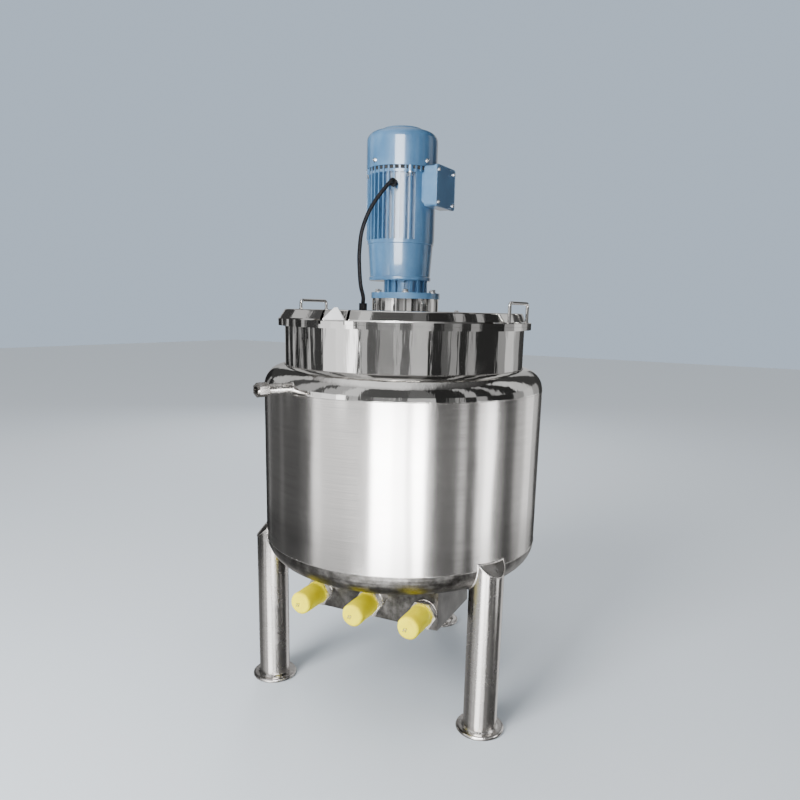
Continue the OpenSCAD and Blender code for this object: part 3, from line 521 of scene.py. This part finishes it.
# Feet, heater sockets, hexagon heads and the pipe nipple: turned on a lathe from stainless bar, with fine rings
# and small dings, and welded or screwed on.
def turned_steel():
    """Bright metal with a fine ripple and a few darker clouds."""
    paint = Paint("turned_steel", Metallic=1.0)
    paint.colour(paint.noise(35, 5, 0.6), [(0.3, (0.48, 0.46, 0.44)), (0.6, (0.70, 0.68, 0.66))])
    paint.roughness(paint.noise(50, 4, 0.6), 0.16, 0.32)
    paint.bump(paint.noise(500, 3, 0.5), 0.00008)
    return paint.material


TURNED_STEEL = turned_steel()
dress(TURNED_STEEL, "foot_right", "foot_left", "foot_back", "heater_sockets", "heater_heads", "jacket_nipple",
      "nipple_union")


# The geared motor: cast aluminium and a pressed cowl, sprayed with glossy blue-grey enamel. The spray leaves an
# orange-peel skin.
def blue_enamel():
    """Coloured base under a clear glossy coat, with orange-peel relief from fine noise."""
    paint = Paint("blue_enamel", Roughness=0.33, Coat_Weight=1.0, Coat_Roughness=0.07)
    paint.colour(paint.noise(14, 5, 0.6), [(0.3, (0.042, 0.115, 0.220)), (0.55, (0.060, 0.152, 0.275)),
                                           (0.8, (0.100, 0.210, 0.345))])
    paint.bump(paint.noise(140, 3, 0.5), 0.0003)
    return paint.material


BLUE_ENAMEL = blue_enamel()
dress(BLUE_ENAMEL, "drive_flange", "drive_neck", "gear_housing", "motor_frame", "motor_end_shield", "fan_cowl",
      "cowl_cap", "terminal_box", "terminal_box_lid")


# Weld beads: where the sheets and tubes meet, a welder laid a bead and ground it back, more in some places than
# in others. The level ones run round the jacket, the neck and the bottom outlet.
BEAD_PITCH = 0.0035
BEAD_SIDES = 8
RIPPLE = 0.10
UNEVEN = 0.12
RING_POINTS = 240
OUTLET_R = 0.0195


def weld_bead(name, path, thick, body="tank"):
    """A tube along the seam whose thickness swells and narrows once per ripple, as laid weld does, and slowly
    with sin(97 length) times sin(41 length)."""
    steps = np.linalg.norm(np.diff(path, axis=0), axis=1)
    along = np.concatenate([[0], np.cumsum(steps)])
    fine = np.arange(0, along[-1], BEAD_PITCH / 4)
    smooth = np.column_stack([np.interp(fine, along, path[:, k]) for k in range(3)])
    radii = thick / 2 * (1 + RIPPLE * np.sin(2 * np.pi * fine / BEAD_PITCH)
                         + UNEVEN * np.sin(fine * 97) * np.sin(fine * 41))
    return mesh_piece(name, *tube_along(smooth, radii, BEAD_SIDES), TURNED_STEEL, body, "turned_steel")


def level_ring(radius, z, centre=(0, 0)):
    """Points of a level circle, the last one on the first."""
    angle = np.linspace(0, 2 * np.pi, RING_POINTS)
    return np.column_stack([centre[0] + radius * np.cos(angle), centre[1] + radius * np.sin(angle),
                            np.full(RING_POINTS, z)])


wall_low, wall_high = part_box("jacket_wall")
wall_r = wall_high[0]
neck_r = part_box("vessel_wall")[1][0]
shoulder_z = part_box("jacket_shoulder")[1][2]
dish_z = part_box("jacket_bottom")[0][2]
# Each seam's radius and height, set a hair into or over the sheet, and its bead's thickness.
level_seams = {"jacket_low_weld": (wall_r - 0.0004, wall_low[2], 0.0022),
               "jacket_high_weld": (wall_r - 0.0006, wall_high[2], 0.0018),
               "neck_weld": (neck_r + 0.0006, shoulder_z - 0.0006, 0.0036),
               "outlet_weld": (OUTLET_R, dish_z + 0.0002, 0.0030)}
for seam_name, (seam_r, seam_z, seam_thick) in level_seams.items():
    weld_bead(seam_name, level_ring(seam_r, seam_z), seam_thick)


# The jacket's shoulder is spun from sheet in one smooth quarter round and polished. The CAD's has ten flat bands,
# which a mirror finish would show, so a finer surface of the same radius and thickness stands for it.
SHEET = 0.003
SHOULDER_BANDS = 48
INNER_BANDS = 16
INNER_STOP = math.radians(86)
SHOULDER_TURNS = 320
shoulder_r = wall_r - neck_r
bend = np.linspace(0, np.pi / 2, SHOULDER_BANDS)[:, None]
inner_bend = np.linspace(INNER_STOP, 0, INNER_BANDS)[:, None]
inner_r = shoulder_r - SHEET
profile = np.vstack([
    np.hstack([neck_r + shoulder_r * np.cos(bend), wall_high[2] + shoulder_r * np.sin(bend)]),
    np.hstack([neck_r + inner_r * np.cos(inner_bend), wall_high[2] + inner_r * np.sin(inner_bend)])])
profile = np.vstack([profile, profile[:1]])
turn = np.linspace(0, 2 * np.pi, SHOULDER_TURNS, endpoint=False)[None, :]
shoulder_points = np.stack(np.broadcast_arrays(profile[:, :1] * np.cos(turn), profile[:, :1] * np.sin(turn),
                                               profile[:, 1:]), -1)
shoulder = mesh_piece("smooth_shoulder", shoulder_points.reshape(-1, 3),
                      grid_faces(len(profile), SHOULDER_TURNS)[:, ::-1], MIRROR_WALL, "tank", "polished_steel")
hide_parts("jacket_shoulder")


# The welds of the three leg tubes. Each tube is cut to fit the jacket, closed with a sloping plate and welded all
# round: one bead runs along the jacket, and a finer one round the plate's free edge.
LEG_R = 0.040
LEG_TOP = 0.396
LEG_BEAD = 0.005
PLATE_BEAD = 0.0026
PLATE_EDGE_TURN = 1.29
KNUCKLE = 0.060


def turned_about(points, angle):
    """Points turned about the tank's axis by an angle."""
    c, s = np.cos(angle), np.sin(angle)
    return np.column_stack([points[:, 0] * c - points[:, 1] * s, points[:, 0] * s + points[:, 1] * c,
                            points[:, 2]])


def middle_of(name):
    """The middle of a CAD node's box."""
    return np.mean(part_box(name), axis=0)


def leg_seam(out):
    """Where a leg meets the jacket, in the leg's own direction: across the wall under the sloping plate, down one
    side, round the tube under the jacket's knuckle, and up the other side. At a distance R from the tank's
    axis the knuckle's height is the wall's foot less sqrt(knuckle^2 - (R - knuckle centre)^2)."""
    edge = np.arccos((wall_r ** 2 - out ** 2 - LEG_R ** 2) / (2 * out * LEG_R))
    half = LEG_R * np.sin(edge)
    y = np.linspace(half, -half, 40)
    x = np.sqrt(wall_r ** 2 - y ** 2)
    across = np.column_stack([x, y, LEG_TOP + out + LEG_R - x])
    around = np.linspace(-edge, edge - 2 * np.pi, 90)
    x, y = out + LEG_R * np.cos(around), LEG_R * np.sin(around)
    reach = np.clip(np.hypot(x, y) - (wall_r - KNUCKLE), 0, KNUCKLE)
    under = np.column_stack([x, y, wall_low[2] - np.sqrt(KNUCKLE ** 2 - reach ** 2)])
    return np.vstack([across, under, across[:1]])


for side_name in ("right", "left", "back"):
    foot_middle = middle_of("foot_" + side_name)
    leg_out = math.hypot(foot_middle[0], foot_middle[1])
    leg_turn = math.atan2(foot_middle[1], foot_middle[0])
    weld_bead("leg_weld_" + side_name, turned_about(leg_seam(leg_out), leg_turn), LEG_BEAD)
    plate_edge = np.linspace(-PLATE_EDGE_TURN, PLATE_EDGE_TURN, 60)
    edge_x = leg_out + LEG_R * np.cos(plate_edge)
    rim = np.column_stack([edge_x, LEG_R * np.sin(plate_edge), LEG_TOP + leg_out + LEG_R - edge_x])
    weld_bead("leg_top_weld_" + side_name, turned_about(rim, leg_turn), PLATE_BEAD)


# Zinc-plated hexagon bolts hold the drive's flange on its ring and the end shield's lugs to the motor, and
# smaller screws hold the cowl. A size is the width across flats, the head's height and the washer's width.
FLANGE_BOLT = (0.013, 0.008, 0.017)
FLANGE_BOLT_R = 0.077
LUG_BOLT = (0.011, 0.009, 0.014)
LUG_BOLT_R = 0.079
COWL_SCREW = (0.0075, 0.0042, 0.010)
COWL_SCREW_UP = 0.013
COWL_SCREW_SUNK = 0.0004
HEAD_POINTS = 24
UP = np.array([0, 0, 1.0])


def zinc_plate():
    """Pale cool metal with faint clouds in its gloss."""
    paint = Paint("zinc_plate", Metallic=1.0)
    paint.colour(paint.noise(120, 3), [(0.3, (0.52, 0.53, 0.54)), (0.7, (0.74, 0.75, 0.76))])
    paint.roughness(paint.noise(200, 3), 0.2, 0.35)
    return paint.material


ZINC_PLATE = zinc_plate()


def bolt_heads(name, places, ways, size):
    """Bolt heads as stacked rings about each bolt's own way out: a round washer, then a hexagon with a chamfered
    top and a slight hollow, at shares of its height and width. At an angle a from a flat's middle the hexagon
    reaches half its width / cos(a)."""
    across, high, washer = size
    lift = 0.25 * high
    turn = np.linspace(0, 2 * np.pi, HEAD_POINTS, endpoint=False)
    hexagon = across / 2 / np.cos((turn + np.pi / 6) % (np.pi / 3) - np.pi / 6)
    rings = [(washer / 2, 0), (washer / 2, lift), (hexagon, lift), (hexagon, 0.88 * high),
             (0.86 * hexagon, high), (0.30 * across, high), (0.24 * across, 0.9 * high)]
    radii = np.stack([np.broadcast_to(radius, HEAD_POINTS) for radius, height in rings])[..., None]
    heights = np.array([height for radius, height in rings])[:, None, None]
    ways = np.array(ways, float)
    side = np.cross(ways, (0.31, 0.53, 0.79))
    side /= np.linalg.norm(side, axis=1)[:, None]
    other = np.cross(ways, side)
    spokes = np.cos(turn)[:, None] * side[:, None] + np.sin(turn)[:, None] * other[:, None]
    points = np.array(places)[:, None, None] + heights * ways[:, None, None] + radii * spokes[:, None]
    per_bolt = len(rings) * HEAD_POINTS
    faces = []
    for start in range(0, per_bolt * len(ways), per_bolt):
        faces += [tuple(f) for f in grid_faces(len(rings), HEAD_POINTS) + start]
        faces.append(tuple(range(start + per_bolt - HEAD_POINTS, start + per_bolt)))
    mesh_piece(name, points.reshape(-1, 3), faces, ZINC_PLATE, "tank", "turned_steel", smooth=False)


def level_ways(degrees):
    """Level unit directions, in degrees round from the -Y side towards +X."""
    angle = np.radians(np.asarray(degrees, float) - 90)
    return np.column_stack([np.cos(angle), np.sin(angle), np.zeros(len(angle))])


flange_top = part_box("drive_flange")[1][2]
flange_ways = level_ways(np.arange(-30, 330, 60))
bolt_heads("flange_bolts", flange_ways * FLANGE_BOLT_R + UP * flange_top, [UP] * len(flange_ways), FLANGE_BOLT)

cowl_low, cowl_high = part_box("fan_cowl")
cowl_r = (cowl_high[1] - cowl_low[1]) / 2
motor_axis = middle_of("fan_cowl") * (1, 1, 0)
cowl_ways = level_ways([-17, 73, 163, 253])
cowl_places = motor_axis + cowl_ways * (cowl_r - COWL_SCREW_SUNK) + UP * (cowl_low[2] + COWL_SCREW_UP)
bolt_heads("cowl_screws", cowl_places, cowl_ways, COWL_SCREW)

shield_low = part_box("motor_end_shield")[0][2]
lug_ways = level_ways([-45, 45, 135, 225])
bolt_heads("lug_bolts", motor_axis + lug_ways * LUG_BOLT_R + UP * shield_low, [-UP] * len(lug_ways), LUG_BOLT)


# The terminal box lid: pressed from sheet with a raised rim round its face, enamelled with the motor, and held by
# a screw with a washer in each corner.
LID_SCREW = (0.0065, 0.0036, 0.009)
LID_SCREW_IN = 0.011
LID_RIM_R = 0.0014
LID_RIM_SUNK = 0.0003
LID_RIM_IN = 0.0025
LID_RIM_CORNER = 0.007
lid_low, lid_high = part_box("terminal_box_lid")
lid_middle = middle_of("terminal_box_lid")
half_y, half_z = (lid_high[1] - lid_low[1]) / 2, (lid_high[2] - lid_low[2]) / 2
corners = np.array([(1, 1), (-1, 1), (-1, -1), (1, -1)])
lid_screws = np.column_stack([np.full(4, lid_high[0]), lid_middle[1] + corners[:, 0] * (half_y - LID_SCREW_IN),
                              lid_middle[2] + corners[:, 1] * (half_z - LID_SCREW_IN)])
bolt_heads("lid_screws", lid_screws, [(1, 0, 0)] * 4, LID_SCREW)
bend = np.radians(90 * np.arange(4)[:, None] + np.linspace(0, 90, 7))
inset = LID_RIM_IN + LID_RIM_CORNER
rim_y = lid_middle[1] + corners[:, :1] * (half_y - inset) + LID_RIM_CORNER * np.cos(bend)
rim_z = lid_middle[2] + corners[:, 1:] * (half_z - inset) + LID_RIM_CORNER * np.sin(bend)
rim_path = np.column_stack([np.full(bend.size, lid_high[0] - LID_RIM_SUNK), rim_y.ravel(), rim_z.ravel()])
rim_path = np.vstack([rim_path, rim_path[:2]])
mesh_piece("terminal_lid_rim", *tube_along(rim_path, LID_RIM_R, 10), BLUE_ENAMEL, "tank", "blue_paint")


# The cowl's air grille, on top round the raised cap: narrow slots cut through the pressed sheet. Each is drawn
# as a flat near-black quad on the cowl, painted shade for the hollow, which shows as a dark gap between blue
# bars.
GRILLE_SLOTS = 36
GRILLE_IN, GRILLE_OUT = 0.0555, 0.0655
GRILLE_SLOT_WIDE = 0.0050
GRILLE_LIFT = 0.0003


def dark_gap():
    """Matt near-black: painted shade for the hollow behind the slots and the other gaps."""
    paint = Paint("dark_gap", Roughness=0.9)
    paint.colour(paint.noise(80, 2), [(0.3, (0.004, 0.005, 0.006)), (0.7, (0.010, 0.011, 0.012))])
    return paint.material


DARK_GAP = dark_gap()
slot_turn = np.linspace(0, 2 * np.pi, GRILLE_SLOTS, endpoint=False)[:, None]
slot_x = np.array([GRILLE_IN, GRILLE_OUT, GRILLE_OUT, GRILLE_IN])[None, :]
slot_y = np.array([-1, -1, 1, 1])[None, :] * GRILLE_SLOT_WIDE / 2
slots = np.stack([motor_axis[0] + slot_x * np.cos(slot_turn) - slot_y * np.sin(slot_turn),
                  motor_axis[1] + slot_x * np.sin(slot_turn) + slot_y * np.cos(slot_turn),
                  np.broadcast_to(cowl_high[2] + GRILLE_LIFT, (GRILLE_SLOTS, 4))], -1).reshape(-1, 3)
mesh_piece("grille_slot_painted_shade", slots, np.arange(len(slots)).reshape(-1, 4), DARK_GAP, "tank", "black_rubber",
           smooth=False)


# Under the cowl the cooling air leaves between the cast frame's fins: a near-black band runs round under its
# edge, painted shade for the gap, and the fins' enamelled tops reach up across it to the cowl.
OUTLET_HIGH = 0.008
GAP_IN = 0.0034
GAP_POINTS = 96
FIN_TOPS = 40
FIN_WIDE = 0.0036
FIN_OUT = 0.0022
FIN_ROOT = 0.003
FIN_DOWN = 0.004
FIN_CLEAR = 0.0004
gap_r = cowl_r - GAP_IN
gap_low = cowl_low[2] - OUTLET_HIGH
gap_turn = np.linspace(0, 2 * np.pi, GAP_POINTS, endpoint=False)
gap_ring = motor_axis + np.column_stack([gap_r * np.cos(gap_turn), gap_r * np.sin(gap_turn),
                                         np.full(GAP_POINTS, gap_low)])
gap_band = np.stack([gap_ring, gap_ring + UP * OUTLET_HIGH])
mesh_piece("air_gap_painted_shade", gap_band.reshape(-1, 3), grid_faces(2, GAP_POINTS), DARK_GAP, "tank", "black_rubber")


def fin_blocks(count, inner, outer, low, high):
    """Upright blocks evenly round the motor's axis, all worked out at once: each is a box from the inner to the
    outer radius, turned to its angle."""
    angles = np.arange(count) * 2 * np.pi / count
    c, s = np.cos(angles)[:, None], np.sin(angles)[:, None]
    out = np.array([inner, outer, outer, inner] * 2)[None, :]
    side = np.array([-1, -1, 1, 1] * 2)[None, :] * FIN_WIDE / 2
    tall = np.broadcast_to(np.repeat([low, high], 4), (count, 8))
    points = np.stack([motor_axis[0] + out * c - side * s, motor_axis[1] + out * s + side * c, tall], -1)
    box = np.array([(0, 3, 2, 1), (4, 5, 6, 7), (0, 1, 5, 4), (1, 2, 6, 5), (2, 3, 7, 6), (3, 0, 4, 7)])
    return points.reshape(-1, 3), (box[None] + 8 * np.arange(count)[:, None, None]).reshape(-1, 4)


fin_tops = fin_blocks(FIN_TOPS, gap_r - FIN_ROOT, gap_r + FIN_OUT, gap_low - FIN_DOWN, cowl_low[2] - FIN_CLEAR)
mesh_piece("fin_tops", *fin_tops, BLUE_ENAMEL, "tank", "blue_paint", smooth=False)


# The jacket nipple, a stub of turned and threaded stainless pipe welded into the shoulder. The thread shows
# between the jacket and the union.
NIPPLE_TURN = -16
NIPPLE_HIGH = 0.808
NIPPLE_BEAD = 0.004
THREAD_R = 0.0105
THREAD_DEEP = 0.0009
THREAD_PITCH = 0.0019
THREAD_LONG = 0.036
UNION_HALF = 0.012
union_middle = middle_of("nipple_union")
thread_end = math.hypot(union_middle[0], union_middle[1]) - UNION_HALF
along = np.linspace(thread_end - THREAD_LONG, thread_end, 240)
thread_path = along[:, None] * level_ways([NIPPLE_TURN])[0] + UP * NIPPLE_HIGH
thread_radii = THREAD_R + THREAD_DEEP * (0.5 + 0.5 * np.cos(2 * np.pi * along / THREAD_PITCH))
mesh_piece("nipple_thread", *tube_along(thread_path, thread_radii, 32), TURNED_STEEL, "tank", "turned_steel")

# Its weld follows the quarter-round shoulder: at height z the shoulder stands at
# neck radius + sqrt(shoulder^2 - (z - wall top)^2) from the tank's axis.
bead_turn = np.linspace(0, 2 * np.pi, 90)
bead_z = NIPPLE_HIGH + THREAD_R * np.sin(bead_turn)
bead_y = THREAD_R * np.cos(bead_turn)
reach = neck_r + np.sqrt(shoulder_r ** 2 - np.clip(bead_z - wall_high[2], 0, None) ** 2)
bead = np.column_stack([np.sqrt(reach ** 2 - bead_y ** 2), bead_y, bead_z])
weld_bead("nipple_weld", turned_about(bead, math.radians(NIPPLE_TURN - 90)), NIPPLE_BEAD)


# Each heater is sealed into a socket that is welded round its foot to the box's front plate. Its cap is a soft
# yellow moulding with a lip at the open end, a round front edge and a few dents. Two staples go through its
# face.
HEATER_TURN = 5.1
CAP_LONG = 0.076
CAP_MOUTH_R = 0.020
CAP_FOOT_R = 0.027
CAP_FRONT_R = 0.0263
CAP_ROUND = 0.007
CAP_LIP = 0.0008
CAP_LIP_LONG = 0.0030
CAP_DENT = 0.0006
CAP_FACE_DIP = 0.0003
CAP_FACE_SINK = 0.0008
CAP_TURNS = 64
HEAD_AND_SOCKET = 0.022
SOCKET_R = 0.029
SOCKET_BEAD = 0.004
STAPLE_LONG = 0.008
STAPLE_LEAN = 0.35
STAPLE_SIDES = (-0.0085, -0.0035)
STAPLE_DOWN = 0.004
STAPLE_R = 0.0006
STAPLE_PROUD = 0.0004
SLIT_R = 0.0013
SLIT_SUNK = 0.0006
SLIT_OVER = 1.15
heater_way = level_ways([HEATER_TURN])[0]
heater_side = np.array([-heater_way[1], heater_way[0], 0])


def yellow_plastic():
    """Strong yellow with faint clouds, a soft gloss and shallow dents."""
    paint = Paint("yellow_plastic", Roughness=0.42, Specular_IOR_Level=0.12)
    paint.colour(paint.noise(26, 4, 0.6), [(0.3, (0.88, 0.72, 0.003)), (0.6, (0.97, 0.83, 0.005)),
                                           (0.8, (0.98, 0.88, 0.015))])
    paint.bump(paint.noise(32, 3, 0.5), 0.0012)
    return paint.material


def moulded_cap(foot, phase):
    """A profile of length and radius turned about the heater's axis: lip, tapered side, quarter round, then a
    face that sinks a little to its middle. The dents are sin(3 turn + 55 length + phase) times
    sin(2 turn - 80 length + 2.1 phase), and die out towards the middle."""
    bend = np.radians(np.linspace(0, 90, 9))
    straight = CAP_LONG - CAP_ROUND
    side = np.linspace(CAP_LIP_LONG + 0.0006, straight, 9)
    inner = CAP_FRONT_R - CAP_ROUND
    profile = np.vstack([
        [(0.0002, CAP_MOUTH_R), (0, CAP_FOOT_R + CAP_LIP), (CAP_LIP_LONG, CAP_FOOT_R + CAP_LIP)],
        np.column_stack([side, CAP_FOOT_R + (CAP_FRONT_R - CAP_FOOT_R) * side / straight]),
        np.column_stack([straight + CAP_ROUND * np.sin(bend), inner + CAP_ROUND * np.cos(bend)]),
        [(CAP_LONG - CAP_FACE_DIP, 0.6 * inner), (CAP_LONG - CAP_FACE_SINK, 0.0002)]])
    along, radius = profile[:, :1], profile[:, 1:]
    turn = np.linspace(0, 2 * np.pi, CAP_TURNS, endpoint=False)[None, :]
    wave = np.sin(3 * turn + 55 * along + phase) * np.sin(2 * turn - 80 * along + 2.1 * phase)
    girth = radius + CAP_DENT * wave * np.clip(radius / CAP_FRONT_R, 0, 1) ** 4
    points = (foot + along[..., None] * heater_way
              + girth[..., None] * (np.cos(turn)[..., None] * heater_side + np.sin(turn)[..., None] * UP))
    return points.reshape(-1, 3), grid_faces(len(profile), CAP_TURNS)


YELLOW_PLASTIC = yellow_plastic()
dress(YELLOW_PLASTIC, "heater_cap_left", "heater_cap_middle", "heater_cap_right")
for count, which in enumerate(("left", "middle", "right")):
    cap_foot = middle_of("heater_cap_" + which) - heater_way * CAP_LONG / 2
    cap = mesh_piece("moulded_cap_" + which, *moulded_cap(cap_foot, 1.7 * count), YELLOW_PLASTIC, "tank",
                     "yellow_plastic")
    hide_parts("heater_cap_" + which)
    turn = np.linspace(0, 2 * np.pi, 90)[:, None]
    ring = cap_foot - heater_way * HEAD_AND_SOCKET + SOCKET_R * (np.cos(turn) * heater_side + np.sin(turn) * UP)
    weld_bead("socket_weld_" + which, ring, SOCKET_BEAD)
    for k, shift in enumerate(STAPLE_SIDES, 1):
        middle = cap_foot + heater_way * (CAP_LONG - CAP_FACE_DIP) + heater_side * shift - UP * STAPLE_DOWN
        lie = (heater_side * STAPLE_LEAN + UP) * STAPLE_LONG / 2
        # Under each staple a near-black tube sunk into the face: painted shade for the slit it goes through.
        slit = middle + np.linspace(-SLIT_OVER, SLIT_OVER, 7)[:, None] * lie - heater_way * SLIT_SUNK
        mesh_piece(f"staple_painted_shade_{which}_{k}", *tube_along(slit, SLIT_R, 8), DARK_GAP, "tank", "black_rubber")
        wire = middle + np.linspace(-1, 1, 7)[:, None] * lie + heater_way * STAPLE_PROUD
        mesh_piece(f"staple_{which}_{k}", *tube_along(wire, STAPLE_R, 8), ZINC_PLATE, "tank", "turned_steel")


# A thin pale tie wire hangs to the right of the middle heater, from the box's front down to its cap. Its bends
# are forwards, sideways and up from the middle of that cap.
TIE_WIRE_R = 0.0008
TIE_BENDS = np.array([(-0.045, 0.050, 0.022), (-0.029, 0.044, 0.012), (-0.017, 0.034, -0.002),
                      (-0.015, 0.024, -0.016)])
tie_path = smooth_route(middle_of("heater_cap_middle") + TIE_BENDS @ np.array([heater_way, heater_side, UP]), 8)
mesh_piece("tie_wire", *tube_along(tie_path, TIE_WIRE_R, 8), TURNED_STEEL, "tank", "turned_steel")


# The handles' feet: each handle is bent from stainless rod, and both ends are welded to its lid half with a small
# ring of weld.
HANDLE_ROD_R = 0.004
HANDLE_BEAD = 0.0024
HANDLE_BEAD_OUT = 0.0004
HANDLE_BEAD_UP = 0.0006
for hand, body in (("right", "right_lid"), ("left", "left_lid")):
    rod_low, rod_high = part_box("lid_handle_" + hand)
    rod_x = rod_high[0] - HANDLE_ROD_R if hand == "right" else rod_low[0] + HANDLE_ROD_R
    for end, rod_y in (("front", rod_low[1] + HANDLE_ROD_R), ("back", rod_high[1] - HANDLE_ROD_R)):
        ring = level_ring(HANDLE_ROD_R + HANDLE_BEAD_OUT, rod_low[2] + HANDLE_BEAD_UP, (rod_x, rod_y))
        weld_bead(f"handle_weld_{hand}_{end}", ring, HANDLE_BEAD, body)
